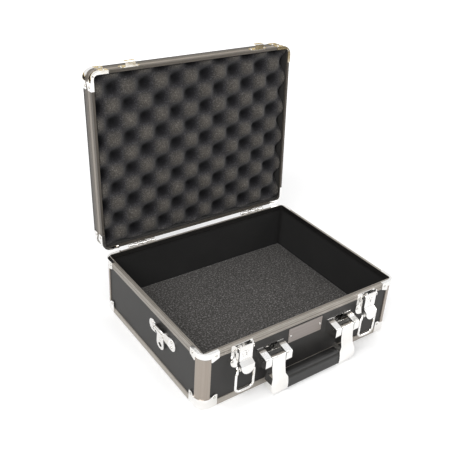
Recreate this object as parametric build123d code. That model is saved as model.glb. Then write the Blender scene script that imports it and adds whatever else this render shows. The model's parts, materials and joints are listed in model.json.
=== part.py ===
from build123d import *
import os
from math import ceil, hypot

# A small hinged flight case, photographed with its lid open, in millimetres.
# X runs along the front from left to right, Y from front to back, Z up.
# The origin is on the floor, under the middle of the lower case.

# Overall driving dimensions
case_width = 340.0
case_depth = 270.0
base_height = 92.0
lid_height = 29.0
parting_gap = 1.6
lid_open_angle = 93.3
corner_radius = 14.0

# Walls and extrusions
skin = 1.2
panel_thickness = 2.6
lining_thickness = 0.8
lining_rim_gap = 3.6
rim_band = 10.0
rim_web = 1.6
tongue_height = 1.2
tongue_root = 6.0
tongue_thickness = 1.2
tongue_gap = 0.3
strip_band = 9.0
strip_flange = 12.0
post_lap = 0.8
groove_width = 0.9
groove_depth = 0.5
soft_gap = 0.3
lid_groove_heights = (4.2, 14.5)

# Chromed corner caps
cap_thickness = 1.0
cap_foot = 1.2
cap_reach = 26.0
cap_flange = 0.6
cap_lobe_drop = 15.0
cap_arch_drop = 7.4
cap_tip_radius = 2.0
cap_edge_radius = 2.6
cap_rivet_back = 5.0
low_cap_reach = 26.0
low_cap_lobe = 21.5
low_cap_arch = 17.0
low_cap_horn = 5.0
low_cap_round = 2.0
low_rivet_back = 4.5
lid_cap_arch = 10.4
lid_cap_gap = 1.4
rivet_radius = 1.9
rivet_height = 0.9
rivet_round = 0.63

# Soft pieces
mat_thickness = 12.0
mat_edge = 1.5
foam_pitch_x = 25.5
foam_pitch_y = 24.7
foam_first_x = -137.4
foam_first_y = -109.8
foam_sheet = 6.0
foam_bump_radius = 17.4
foam_rim_gap = 1.4
foam_side_gap = 1.2

# Name plate
plate_width = 59.2
plate_height = 24.0
plate_drop = 3.5
plate_rivet_inset = 3.5
plate_thickness = 0.8
plate_corner = 1.2

# Handle and its brackets
grip_half_length = 47.0
grip_thickness = 17.4
grip_height = 23.6
grip_top_round = 7.5
grip_low_round = 2.5
grip_rise = 0.6
bracket_beyond_grip = 14.5
bracket_width = 44.0
bracket_tall = 21.5
bracket_sheet = 1.5
bracket_rivet_spacing = 12.0
ear_width = 10.2
ear_reach = 7.6
ear_rise = 9.3
ear_front_rise = 4.2
ear_top_round = 2.2
ear_low_round = 5.0
handle_pin_out = 13.4
handle_drop = 33.3
handle_pin_radius = 2.0
knuckle_half = 7.4
knuckle_rise = 4.4
knuckle_round = 1.6
knuckle_play = 0.8
pin_clearance = 0.05
handle_floor_gap = 1.2
grip_out = 17.0
arm_toe = 5.5
arm_toe_lead = 0.5375
arm_heel = 2.5
arm_heel_lead = 0.49
# The arm's front edge down to its toe, and its back edge up from its heel, as
# distance out from the pin and share of the height up to the pin
arm_front_edge = ((8.0, 0.85), (9.9, 0.61), (12.0, 0.47), (14.3, 0.29))
arm_back_edge = ((-1.3, 0.24), (-3.0, 0.5), (-4.5, 0.76))
arm_flare = 3.0
arm_flare_share = 0.36
arm_corner = 14.0
core_radius = 3.0
core_bite = 6.0

# Latches: base plate, lever, lock, bail
latch_lean = 3.75
latch_width = 32.8
latch_tall = 37.2
latch_under_rim = 0.6
latch_sheet = 1.5
latch_corner = 11.0
latch_fold = 0.5
latch_pad_gap = 0.1
latch_rivet_inset = 2.5
lever_half_width = 10.3
lever_sheet = 1.2
lever_front = 10.0
lever_rise = 5.6
notch_half_width = 8.3
notch_depth = 3.6
lever_bevel = 2.5
lever_shoulder = 2.3
lever_back_gap = 1.7
lever_pivot_out = 8.5
lever_pivot_drop = 2.5
lever_pin_radius = 1.5
lever_ear_radius = 3.6
lever_side_gap = 0.3
flange_sheet = 1.2
flange_nose = 3.6
tab_drop = 21.5
tab_length = 16.5
tab_shelf_out = 6.2
tab_shelf_drop = 4.2
tab_flare = 8.0
tab_sheet = 1.6
lock_drop = 10.3
plug_radius = 3.5
slot_width = 1.1
slot_length = 4.4
slot_depth = 2.5
barrel_radius = 4.5
bezel_radius = 5.3
bezel_height = 0.7
cam_length = 6.5
cam_width = 4.0
cam_sheet = 1.0
cam_gap = 0.2
cam_behind = 2.7
striker_half = 3.0
striker_sheet = 1.0
striker_gap = 0.7
striker_lip_gap = 1.1
bail_wire_radius = 2.0
bail_pin_radius = 1.4
bail_pin_out = 12.0
bail_pin_drop = 31.4
bail_neck_gap = 0.4
bail_neck_length = 7.0
bail_half_width = 14.2
bail_corner = 8.0
bail_bend = 1.5
hook_seat_out = 5.0
hook_seat_gap = 0.5

# Keepers on the lid
keeper_width = 31.0
keeper_height = 11.0
keeper_corner = 5.0
keeper_rise = 1.4
keeper_sheet = 1.2
keeper_rivet_gap = 1.5
hook_width = 15.5
hook_reach = 8.8
hook_lip = 7.0
hook_bevel = 1.0

# Hinges
hinge_inset = 64.0
hinge_width = 46.0
hinge_sheet = 1.2
hinge_leaf = 8.8
hinge_out = 3.4
hinge_knuckle = 2.5
hinge_pin_radius = 1.2
hinge_gap = 0.2
hinge_web_gap = 0.5

# Strap lugs
lug_from_front = 97.5
lug_drop = 31.1
lug_spacing = 50.4
lug_foot_radius = 9.4
lug_strap_half = 6.6
lug_sheet = 1.5
lug_rivet_spacing = 8.6
lug_rod_out = 4.4
lug_rod_rise = 8.4
lug_rod_radius = 1.8
lug_nose_wall = 1.7
lug_ear = 2.4
lug_ear_drop = 8.0
lug_ear_inner = 10.6
loop_barrel = 3.2
loop_half_width = 10.0
loop_waist = 1.6
loop_length = 31.0
loop_sheet = 2.0
loop_wall_gap = 0.9
loop_bend_drop = 11.0
loop_round = 8.0
loop_eye_width = 8.4
loop_eye_height = 5.6
loop_eye_up = 6.8
loop_groove_width = 1.6
loop_groove_depth = 0.6
loop_groove_length = 11.0

# Levels and insets worked out from the values above.
# An inset is a distance inwards from the outer face of the extrusions.
half_width = case_width / 2
half_depth = case_depth / 2
panel_back = skin + panel_thickness
lining_back = panel_back + lining_thickness
tongue_outer = panel_back + tongue_gap
tongue_inner = tongue_outer + tongue_thickness
strip_top = cap_foot + strip_band
floor_top = cap_foot + skin + panel_thickness
rim_under = base_height - rim_web
lid_rim = base_height + parting_gap
lid_top = lid_rim + lid_height
lid_skin_under = lid_top - cap_foot - skin
lid_board_under = lid_skin_under - panel_thickness
lid_lining_under = lid_board_under - lining_thickness
hinge_y = half_depth + hinge_out
hinge_z = base_height + parting_gap / 2
panel_face = -skin
plate_middle = base_height - rim_band - plate_drop - plate_height / 2
bracket_at = grip_half_length + bracket_beyond_grip
handle_pin_up = base_height - handle_drop
bracket_high = handle_pin_up + ear_rise
bracket_low = bracket_high - bracket_tall
bracket_outer = bracket_at + bracket_width / 2
cap_inner = half_width - cap_reach
latch_at = (bracket_outer + cap_inner) / 2 - latch_lean
latch_top = base_height - latch_under_rim
latch_low = latch_top - latch_tall
lever_top = base_height + lever_rise
lever_pivot_up = base_height - lever_pivot_drop
lock_up = base_height - lock_drop
tab_root = base_height - tab_drop
bail_pin_up = base_height - bail_pin_drop
hinge_at = half_width - hinge_inset
lug_at = lug_from_front - half_depth
lug_up = base_height - lug_drop
lug_rod_up = lug_up + lug_rod_rise
parts_folder = "parts"


# Helpers for outlines, rings and placing

def corner_round(inset):
    """Corner radius of an outline at an inset, so that nested outlines never cross."""
    if inset < 0:
        return corner_radius - inset
    return max(corner_radius - 2 * inset, 1.0)


def slab(inset, low, high):
    """A plate with the outline of the case, drawn in by inset."""
    shape = RectangleRounded(case_width - 2 * inset, case_depth - 2 * inset, corner_round(inset))
    return Pos(0, 0, low) * extrude(shape, high - low)


def ring(outer, inner, low, high):
    """A closed band between two insets."""
    return slab(outer, low, high) - slab(inner, low - 1, high + 1)


def block(x0, x1, y0, y1, z0, z1):
    middle = Pos((x0 + x1) / 2, (y0 + y1) / 2, (z0 + z1) / 2)
    return middle * Box(x1 - x0, y1 - y0, z1 - z0)


def four_bars(band):
    """Cut a closed band into front, back, left and right bars at 45 degree mitres."""
    reach = strip_flange * 2
    w = half_width + reach
    d = half_depth + reach
    k = reach * 2
    low = -reach
    tall = lid_top + 2 * reach
    long_side = Polygon((-w, -d), (w, -d), (w - k, -d + k), (k - w, -d + k), align=None)
    short_side = Polygon((-w, -d), (k - w, k - d), (k - w, d - k), (-w, d), align=None)
    front = Pos(0, 0, low) * extrude(long_side, tall)
    left = Pos(0, 0, low) * extrude(short_side, tall)
    wedges = [front, mirror(front, Plane.XZ), left, mirror(left, Plane.YZ)]
    return [band & wedge for wedge in wedges]


def front_prism(sketch, x0, x1):
    """Extrude a side view, drawn as (out from the front face, up), from x0 to x1."""
    plane = Plane(origin=(x1, -half_depth, 0), x_dir=(0, -1, 0), z_dir=(-1, 0, 0))
    return extrude(plane * sketch, x1 - x0, dir=(-1, 0, 0))


def front_plate(sketch, out0, out1):
    """Extrude a front view, drawn as (x, up), between two distances out from the front face."""
    plane = Plane(origin=(0, -half_depth - out0, 0), x_dir=(1, 0, 0), z_dir=(0, -1, 0))
    return extrude(plane * sketch, out1 - out0, dir=(0, -1, 0))


def right_prism(sketch, y0, y1):
    """Extrude a view along Y, drawn as (out from the right face, up), from y0 to y1."""
    plane = Plane(origin=(half_width, y1, 0), x_dir=(1, 0, 0), z_dir=(0, -1, 0))
    return extrude(plane * sketch, y1 - y0, dir=(0, -1, 0))


def right_plate(sketch, out0, out1):
    """Extrude a view of the right face, drawn as (y, up), between two distances out."""
    plane = Plane(origin=(half_width + out0, 0, 0), x_dir=(0, 1, 0), z_dir=(1, 0, 0))
    return extrude(plane * sketch, out1 - out0, dir=(1, 0, 0))


def rod_x(radius, x0, x1, out, up):
    return front_prism(Pos(out, up) * Circle(radius), x0, x1)


def outline(*points):
    return Polygon(*points, align=None)


def hull(*sketches):
    edges = []
    for sketch in sketches:
        edges += sketch.edges()
    return make_hull(edges)


def mirror_x(piece):
    return mirror(piece, Plane.YZ)


def at_four_corners(piece):
    """The same corner piece at all four corners, from the one at front right."""
    left = mirror_x(piece)
    return [piece, left, mirror(piece, Plane.XZ), mirror(left, Plane.XZ)]


def open_lid(piece):
    """Swing a piece from the closed lid to the open lid."""
    hinge = Pos(0, hinge_y, hinge_z)
    return hinge * Rot(-lid_open_angle, 0, 0) * Pos(0, -hinge_y, -hinge_z) * piece


def rivet():
    head = extrude(Circle(rivet_radius), rivet_height)
    return fillet(head.edges().group_by(Axis.Z)[-1], rivet_round)


def rivet_front(x, out, up):
    return Pos(x, -half_depth - out, up) * Rot(90, 0, 0) * rivet()


def rivet_back(x, out, up):
    return Pos(x, half_depth + out, up) * Rot(-90, 0, 0) * rivet()


def rivet_right(y, out, up):
    return Pos(half_width + out, y, up) * Rot(0, 90, 0) * rivet()


# Lower case

def base_bottom_frame():
    skirt = ring(0, skin, cap_foot, strip_top)
    flange = ring(0, strip_flange, cap_foot, cap_foot + skin)
    return four_bars(skirt + flange)


def base_floor_panel():
    return slab(skin, cap_foot + skin, floor_top)


def base_front_panel():
    x = half_width - corner_radius
    return block(-x, x, -half_depth + skin, -half_depth + panel_back, floor_top, rim_under)


def base_right_panel():
    y = half_depth - corner_radius
    return block(half_width - panel_back, half_width - skin, -y, y, floor_top, rim_under)


def corner_block(reach, low, high):
    margin = 5.0
    return block(half_width - reach, half_width + margin, -half_depth - margin,
                 -half_depth + reach, low, high)


def corner_post(low, high):
    return ring(0, skin, low, high) & corner_block(corner_radius + post_lap, low, high)


def base_rim_frame():
    skirt = ring(0, skin, base_height - rim_band, base_height)
    web = ring(0, tongue_inner, rim_under, base_height)
    tongue = ring(tongue_outer, tongue_inner, base_height - tongue_root, base_height + tongue_height)
    groove_low = base_height - (rim_band + groove_width) / 2
    groove = ring(-groove_depth, groove_depth, groove_low, groove_low + groove_width)
    return four_bars(skirt + web + tongue - groove)


def base_wall_lining():
    return four_bars(ring(panel_back, lining_back, floor_top, base_height - tongue_root))


def base_foam_mat():
    mat = slab(lining_back + soft_gap, floor_top, floor_top + mat_thickness)
    return fillet(mat.edges().group_by(Axis.Z)[-1], mat_edge)


# Chromed corner caps, made for the front right corner

def across_corner(piece):
    """Mirror a piece of the front right corner from the front face to the right face."""
    return mirror(piece, Plane(origin=(half_width, -half_depth, 0), z_dir=(1, 1, 0)))


def both_arms(shape):
    """A corner cap's two flat arms, from the front view of one."""
    arm = front_plate(shape, 0, cap_thickness)
    return arm + across_corner(arm)


def rim_cap(lobe_drop):
    """Cap on a rim corner: two arms with a lobe each, a round between them, a flange on top."""
    end = half_width - cap_reach
    root = half_width - corner_radius
    shape = outline((end, cap_flange), (end, -rim_band), (root, -lobe_drop), (root, cap_flange))
    tip = shape.vertices().sort_by_distance((root, -lobe_drop, 0))[0]
    shape = fillet(tip, cap_tip_radius)
    wrap = ring(-cap_thickness, 0, -cap_arch_drop, cap_flange)
    wrap &= corner_block(corner_radius, -cap_arch_drop, cap_flange)
    flange = ring(-cap_thickness, panel_back, 0, cap_flange) & corner_block(cap_reach, 0, cap_flange)
    return wrap + flange + both_arms(shape)


def low_cap(lobe_height, arch_height):
    """Cap on a bottom corner: a shell with round lower edges and a horn on each face."""
    shell = slab(-cap_thickness, 0, arch_height)
    shell = fillet(shell.edges().group_by(Axis.Z)[0], cap_edge_radius)
    shell -= slab(0, cap_foot, arch_height + 1) + slab(strip_flange, -1, cap_foot + 1)
    shell &= corner_block(low_cap_reach, 0, arch_height)
    end = half_width - low_cap_reach
    root = half_width - corner_radius
    under = arch_height - 1
    horn = outline((end, under), (root, under), (root, arch_height), (end + low_cap_horn, lobe_height),
                   (end, lobe_height))
    horn = fillet(horn.vertices().group_by(Axis.Y)[-1], low_cap_round)
    return shell + both_arms(horn)


def cap_rivets(up, inset, face):
    """One rivet on each arm of a corner cap."""
    front = rivet_front(half_width - inset, face, up)
    return at_four_corners(front) + at_four_corners(across_corner(front))


# Name plate

def name_plate():
    shape = Pos(0, plate_middle) * RectangleRounded(plate_width, plate_height, plate_corner)
    return front_plate(shape, panel_face, panel_face + plate_thickness)


def name_plate_rivets():
    x = plate_width / 2 - plate_rivet_inset
    return [rivet_front(side * x, panel_face + plate_thickness, plate_middle) for side in (-1, 1)]


# Handle

def handle_bracket():
    """Bracket at the right: a back plate and two thick ears whose tops slope to the front."""
    left = bracket_at - bracket_width / 2
    right = bracket_outer
    plate_shape = outline((left, bracket_low), (right, bracket_low), (right, bracket_high),
                          (left, bracket_high))
    plate = front_plate(plate_shape, panel_face, panel_face + bracket_sheet)
    front = handle_pin_out + ear_reach
    front_top = handle_pin_up + ear_front_rise
    ear = outline((panel_face, bracket_low), (front, bracket_low), (front, front_top),
                  (panel_face, bracket_high))
    ear = fillet(ear.vertices().sort_by_distance((front, front_top, 0))[0], ear_top_round)
    ear = fillet(ear.vertices().sort_by_distance((front, bracket_low, 0))[0], ear_low_round)
    ears = front_prism(ear, left, left + ear_width) + front_prism(ear, right - ear_width, right)
    hole = rod_x(handle_pin_radius, left - 1, right + 1, handle_pin_out, handle_pin_up)
    return plate + ears - hole


def handle_pin():
    left = bracket_at - bracket_width / 2
    right = bracket_outer
    return rod_x(handle_pin_radius, left, right, handle_pin_out, handle_pin_up)


def handle_bracket_rivets():
    up = bracket_low + rivet_radius + 1
    out = panel_face + bracket_sheet
    reach = bracket_rivet_spacing / 2
    return [rivet_front(bracket_at + side * reach, out, up) for side in (-1, 1)]


def grip_middle():
    """Out and up position of the grip's axis."""
    return grip_out, handle_floor_gap + grip_rise + grip_height / 2


def arm_points(edge):
    low = handle_floor_gap
    return [(handle_pin_out + out, low + (handle_pin_up - low) * share) for out, share in edge]


def arm_side_view():
    """The arm seen from the side: a squared knuckle, a neck and a deep foot round the grip."""
    low = handle_floor_gap
    front = arm_points(arm_front_edge)
    back = arm_points(arm_back_edge)
    toe = (front[-1][0], low)
    heel = (back[0][0], low)
    front = front + [(toe[0], low + arm_toe + arm_toe_lead)]
    back = [(heel[0], low + arm_heel + arm_heel_lead)] + back
    top = handle_pin_up + knuckle_rise
    knuckle_front = handle_pin_out + knuckle_half
    knuckle_back = handle_pin_out - knuckle_half
    foot = Polyline(front[-1], toe, heel, back[0])
    knuckle = Polyline(back[-1], (knuckle_back, handle_pin_up), (knuckle_back, top), (knuckle_front, top),
                       (knuckle_front, handle_pin_up), front[0])
    side = make_face([Spline(*front), foot, Spline(*back), knuckle])
    side = fillet(side.vertices().sort_by_distance((*toe, 0))[0], arm_toe)
    side = fillet(side.vertices().sort_by_distance((*heel, 0))[0], arm_heel)
    return fillet(side.vertices().group_by(Axis.Y)[-1], knuckle_round)


def arm_front_view():
    """The right arm seen from the front, widening to a foot with a large outer round."""
    half = bracket_width / 2 - ear_width - knuckle_play
    low = handle_floor_gap
    top = handle_pin_up + ear_rise
    inner = bracket_at - half
    outer = bracket_at + half
    flare_up = low + (handle_pin_up - low) * arm_flare_share
    shape = outline((inner, top), (outer, top), (outer, flare_up + arm_flare * 3),
                    (outer + arm_flare, flare_up), (outer + arm_flare, low), (grip_half_length, low),
                    (grip_half_length, low + grip_height), (inner, low + grip_height + arm_flare * 2))
    foot = shape.vertices().sort_by_distance((outer + arm_flare, low, 0))[0]
    return fillet(foot, arm_corner)


def handle_arm():
    left = grip_half_length - 1
    right = bracket_at + bracket_width
    side = front_prism(arm_side_view(), left, right)
    face = front_plate(arm_front_view(), -handle_pin_out, 3 * handle_pin_out)
    bore = rod_x(handle_pin_radius + pin_clearance, left, right, handle_pin_out, handle_pin_up)
    out, up = grip_middle()
    socket = rod_x(core_radius, left, grip_half_length + core_bite, out, up)
    return (side & face) - bore - socket


def handle_grip():
    """Grip with a high round back, nearly flat underneath."""
    out, up = grip_middle()
    section = Pos(out, up) * Rectangle(grip_thickness, grip_height)
    section = fillet(section.vertices().group_by(Axis.Y)[-1], grip_top_round)
    section = fillet(section.vertices().group_by(Axis.Y)[0], grip_low_round)
    hole = rod_x(core_radius, -grip_half_length - 1, grip_half_length + 1, out, up)
    return front_prism(section, -grip_half_length, grip_half_length) - hole


def handle_core_rod():
    out, up = grip_middle()
    half = grip_half_length + core_bite
    return rod_x(core_radius, -half, half, out, up)


# Latches, made for the right latch

def latch_plate():
    """Base plate with two pivot flanges and the striker that holds the lock's cam."""
    half = latch_width / 2
    face = outline((latch_at - half, latch_low), (latch_at + half, latch_low),
                   (latch_at + half, latch_top), (latch_at - half, latch_top))
    face = fillet(face.vertices().group_by(Axis.Y)[0], latch_corner)
    plate = front_plate(face, 0, latch_sheet)
    pad_top = base_height - rim_band - latch_pad_gap
    pad_area = outline((latch_at - latch_width, latch_low - 1), (latch_at + latch_width, latch_low - 1),
                       (latch_at + latch_width, pad_top), (latch_at - latch_width, pad_top))
    pad = front_plate(face & pad_area, panel_face, 0)
    inner = lever_half_width + lever_side_gap
    outer = inner + flange_sheet
    fold = latch_sheet - latch_fold
    foot = outline((fold, lock_up), (latch_sheet, lock_up), (latch_sheet, latch_top), (fold, latch_top))
    nose = Pos(lever_pivot_out, lever_pivot_up) * Circle(flange_nose)
    flange = hull(foot, nose)
    flanges = front_prism(flange, latch_at - outer, latch_at - inner)
    flanges += front_prism(flange, latch_at + inner, latch_at + outer)
    hole = rod_x(lever_pin_radius, latch_at - latch_width, latch_at + latch_width,
                 lever_pivot_out, lever_pivot_up)
    return plate + pad + flanges + latch_striker() - hole


def cam_levels():
    """Out positions of the cam's back and front faces."""
    back = latch_sheet + cam_behind
    return back, back + cam_sheet


def latch_striker():
    """A post beside the cam's sweep, with a lip in front of the cam."""
    post = latch_at + cam_length + striker_gap
    end = post + striker_sheet
    low = lock_up - striker_half
    high = lock_up + striker_half
    lip_left = latch_at + plug_radius + striker_lip_gap
    stem = outline((post, low), (end, low), (end, high), (post, high))
    lip = outline((lip_left, low), (end, low), (end, high), (lip_left, high))
    lip_back = cam_levels()[1] + cam_gap
    lip_front = lip_back + striker_sheet
    return front_plate(stem, latch_sheet, lip_front) + front_plate(lip, lip_back, lip_front)


def latch_pivot_pin():
    half = lever_half_width + lever_side_gap + flange_sheet
    return rod_x(lever_pin_radius, latch_at - half, latch_at + half, lever_pivot_out, lever_pivot_up)


def latch_rivets():
    x = latch_width / 2 - latch_rivet_inset
    ups = (latch_low + latch_corner + 1, lock_up + rivet_radius)
    return [rivet_front(latch_at + side * x, latch_sheet, up) for side in (-1, 1) for up in ups]


def lever_side_view():
    """A side of the lever, from its top past the pivot down to the ear of the bail's pin."""
    front = lever_front + lever_sheet
    back = latch_sheet + lever_back_gap
    bevel_out = lever_pivot_out - lever_pin_radius
    bevel_up = lever_top - lever_bevel
    body = outline((front, lever_top), (lever_front, lever_top), (bevel_out, bevel_up),
                   (bevel_out - lever_shoulder, bevel_up - lever_shoulder),
                   (back, lever_pivot_up - lever_ear_radius), (back, tab_root), (front, tab_root))
    ear = Pos(bail_pin_out, bail_pin_up) * Circle(lever_ear_radius)
    neck = outline((back + lever_shoulder, tab_root), (front, tab_root), (front, tab_root + 1),
                   (back + lever_shoulder, tab_root + 1))
    return body + hull(neck, ear)


def lever_tab():
    """Finger tab: a shelf that comes forward under the face, then a round tongue."""
    half = lever_half_width
    front = lever_front + lever_sheet
    shelf_front = front + tab_shelf_out
    tip_out = front + tab_flare
    tip_up = tab_root - tab_length
    knee_up = tab_root - tab_shelf_drop
    side = outline((lever_front, tab_root), (front, tab_root), (shelf_front, knee_up), (tip_out, tip_up),
                   (tip_out - tab_sheet, tip_up), (shelf_front - tab_sheet, knee_up - tab_sheet),
                   (lever_front, tab_root - tab_sheet))
    disc = Pos(latch_at, tip_up + half) * Circle(half)
    upper = outline((latch_at - half, tip_up + half), (latch_at + half, tip_up + half),
                    (latch_at + half, tab_root + 1), (latch_at - half, tab_root + 1))
    return front_prism(side, latch_at - half, latch_at + half) & front_plate(disc + upper, 0, tip_out)


def latch_lever():
    """Folded lever: two sides, a front face with the lock hole, and the finger tab.

    The face is cut out at the top, so that the lever swings past the hook of the closed lid.
    """
    half = lever_half_width
    front = lever_front + lever_sheet
    left = latch_at - half
    right = latch_at + half
    side = lever_side_view()
    sides = front_prism(side, left, left + lever_sheet) + front_prism(side, right - lever_sheet, right)
    notch_left = latch_at - notch_half_width
    notch_right = latch_at + notch_half_width
    notch_low = lever_top - notch_depth
    face_shape = outline((left, tab_root), (right, tab_root), (right, lever_top), (notch_right, lever_top),
                         (notch_right, notch_low), (notch_left, notch_low), (notch_left, lever_top),
                         (left, lever_top))
    face = front_plate(face_shape, lever_front, front)
    pivot = rod_x(lever_pin_radius + pin_clearance, left - 1, right + 1, lever_pivot_out, lever_pivot_up)
    bail_hole = rod_x(bail_pin_radius + pin_clearance, left - 1, right + 1, bail_pin_out, bail_pin_up)
    lock_hole = front_plate(Pos(latch_at, lock_up) * Circle(barrel_radius), 0, front + 1)
    return sides + face + lever_tab() - pivot - bail_hole - lock_hole


def lock_barrel():
    face = lever_front + lever_sheet
    back = cam_levels()[1] + cam_gap + striker_sheet + cam_gap
    middle = Pos(latch_at, lock_up)
    sleeve = front_plate(middle * Circle(barrel_radius), back, face)
    bezel = front_plate(middle * Circle(bezel_radius), face, face + bezel_height)
    bore = front_plate(middle * Circle(plug_radius + pin_clearance), 0, face + bezel_height + 1)
    return sleeve + bezel - bore


def lock_plug():
    """The part that the key turns, with its slot in front and the cam behind."""
    back, front = cam_levels()
    face = lever_front + lever_sheet + bezel_height
    middle = Pos(latch_at, lock_up)
    plug = front_plate(middle * Circle(plug_radius), front, face)
    slot = front_plate(middle * Rectangle(slot_width, slot_length), face - slot_depth, face + 1)
    half = cam_width / 2
    cam_shape = outline((latch_at - half, lock_up + half), (latch_at + half, lock_up + half),
                        (latch_at + half, lock_up - cam_length), (latch_at - half, lock_up - cam_length))
    return plug - slot + front_plate(cam_shape, back, front)


def bail_length():
    """Length from the bail's pins to its bar, which reaches into the closed lid's hook."""
    seat_up = lid_rim + keeper_rise + keeper_sheet + hook_seat_gap + bail_wire_radius
    return hypot(seat_up - bail_pin_up, bail_pin_out - hook_seat_out)


def latch_bail():
    """Wire loop with a narrower neck, on a pin at each side that turns in the lever's ears."""
    half = bail_half_width
    neck = lever_half_width + bail_neck_gap + bail_wire_radius
    neck_up = bail_pin_up - bail_neck_length
    low = bail_pin_up - bail_length()
    y = -half_depth - bail_pin_out
    bend = bail_wire_radius * bail_bend
    jog = half - neck
    top = bail_pin_up + bail_wire_radius
    points = [(neck, top), (neck, neck_up), (half, neck_up - jog), (half, low), (-half, low),
              (-half, neck_up - jog), (-neck, neck_up), (-neck, top)]
    path = FilletPolyline(*[(latch_at + x, y, z) for x, z in points],
                          radius=[bend / 2, bend / 2, bail_corner, bail_corner, bend / 2, bend / 2])
    section = Plane(origin=path @ 0, z_dir=path % 0) * Circle(bail_wire_radius)
    wire = sweep(section, path=path)
    end = lever_half_width - lever_sheet
    for side in (-1, 1):
        near = latch_at + side * end
        far = latch_at + side * neck
        wire += rod_x(bail_pin_radius, min(near, far), max(near, far), bail_pin_out, bail_pin_up)
    return wire


# Lid, made closed

def lid_frame():
    """Deep extrusion: a hollow box beside the foam, and a skin that wraps the top panel."""
    box = ring(0, panel_back, lid_rim, lid_board_under)
    hollow = ring(skin, panel_back - skin, lid_rim + rim_web, lid_board_under - skin)
    wrap = ring(0, skin, lid_board_under, lid_skin_under + skin)
    flange = ring(0, strip_flange, lid_skin_under, lid_skin_under + skin)
    frame = box - hollow + wrap + flange
    for height in lid_groove_heights:
        low = lid_rim + height
        frame -= ring(-groove_depth, groove_depth, low, low + groove_width)
    return four_bars(frame)


def lid_top_panel():
    return slab(skin, lid_board_under, lid_skin_under)


def lid_lining():
    walls = four_bars(ring(panel_back, lining_back, lid_rim + lining_rim_gap, lid_lining_under))
    return walls + [slab(panel_back, lid_lining_under, lid_board_under)]


def lid_lobe():
    """Height of the lobes on the lid, where the two caps of a corner nearly meet."""
    return (lid_height - lid_cap_gap) / 2


def lid_rim_cap():
    return Pos(0, 0, lid_rim) * mirror(rim_cap(lid_lobe()), Plane.XY)


def lid_top_cap():
    return Pos(0, 0, lid_top) * mirror(low_cap(lid_lobe(), lid_cap_arch), Plane.XY)


def foam_places():
    """Column, row and position of every bump and pit of the egg-crate foam."""
    reach_x = half_width + foam_bump_radius
    reach_y = half_depth + foam_bump_radius
    first_column = -ceil((foam_first_x + reach_x) / foam_pitch_x)
    last_column = ceil((reach_x - foam_first_x) / foam_pitch_x)
    first_row = -ceil((foam_first_y + reach_y) / foam_pitch_y)
    last_row = ceil((reach_y - foam_first_y) / foam_pitch_y)
    for column in range(first_column, last_column + 1):
        for row in range(first_row, last_row + 1):
            x = foam_first_x + column * foam_pitch_x
            y = foam_first_y + row * foam_pitch_y
            yield column, row, x, y


def foam_bump(height):
    """One bump, pointing down: a round peak, and sides that curve out to the sheet."""
    half = height / 2
    reach = foam_bump_radius / 2
    peak = ThreePointArc((0, -height), (reach * 0.55, -height * 0.86), (reach, -half))
    skirt = ThreePointArc((reach, -half), (reach * 1.36, -height * 0.17), (foam_bump_radius, 0))
    top = Line((foam_bump_radius, 0), (0, 0))
    axis = Line((0, 0), (0, -height))
    profile = make_face([peak, skirt, top, axis])
    return revolve(Plane.XZ * profile, Axis.Z)


def lid_egg_crate_foam():
    """Egg-crate foam: a sheet with a bump on every second place of a chess board."""
    back = lid_lining_under
    face = back - foam_sheet
    low = lid_rim + foam_rim_gap
    inset = lining_back + foam_side_gap
    bump = foam_bump(face - low)
    room = slab(inset, low - 1, face)
    foam = slab(inset, face, back)
    bumps = []
    for column, row, x, y in foam_places():
        if (column + row) % 2:
            bumps += (Pos(x, y, face) * bump & room).solids()
    return foam + bumps


def keeper():
    """Riveted plate with a hook that opens towards the lid's top."""
    low = lid_rim + keeper_rise
    middle = low + keeper_height / 2
    shape = Pos(latch_at, middle) * RectangleRounded(keeper_width, keeper_height, keeper_corner)
    plate = front_plate(shape, 0, keeper_sheet)
    inside = hook_reach - keeper_sheet
    floor = low + keeper_sheet
    hook = outline((0, low), (hook_reach - hook_bevel, low), (hook_reach, low + hook_bevel),
                   (hook_reach, low + hook_lip), (inside, low + hook_lip), (inside, floor), (0, floor))
    return plate + front_prism(hook, latch_at - hook_width / 2, latch_at + hook_width / 2)


def keeper_rivets():
    up = lid_rim + keeper_rise + keeper_height / 2
    x = keeper_width / 2 - rivet_radius - keeper_rivet_gap
    return [rivet_front(latch_at + side * x, keeper_sheet, up) for side in (-1, 1)]


# Hinges, made for the right hinge

def back_rod(radius, x0, x1):
    rod = rod_x(radius, x0, x1, 0, 0)
    return Pos(0, half_depth + hinge_y, hinge_z) * rod


def hinge_base_leaf():
    x0 = hinge_at - hinge_width / 2
    x1 = hinge_at + hinge_width / 2
    third = hinge_width / 3
    web_top = hinge_z - hinge_pin_radius - hinge_web_gap
    leaf = block(x0, x1, half_depth, half_depth + hinge_sheet, web_top - hinge_leaf, web_top)
    for start, end in ((x0, x0 + third - hinge_gap), (x1 - third + hinge_gap, x1)):
        leaf += block(start, end, half_depth, hinge_y, hinge_z - hinge_knuckle, web_top)
        leaf += back_rod(hinge_knuckle, start, end)
    return leaf - back_rod(hinge_pin_radius, x0 - 1, x1 + 1)


def hinge_lid_leaf():
    x0 = hinge_at - hinge_width / 2
    x1 = hinge_at + hinge_width / 2
    third = hinge_width / 3
    web_low = hinge_z + hinge_pin_radius + hinge_web_gap
    leaf = block(x0, x1, half_depth, half_depth + hinge_sheet, web_low, web_low + hinge_leaf)
    leaf += block(x0 + third, x1 - third, half_depth, hinge_y, web_low, hinge_z + hinge_knuckle)
    leaf += back_rod(hinge_knuckle, x0 + third, x1 - third)
    return leaf - back_rod(hinge_pin_radius + pin_clearance, x0 - 1, x1 + 1)


def hinge_pin():
    return back_rod(hinge_pin_radius, hinge_at - hinge_width / 2, hinge_at + hinge_width / 2)


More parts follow.
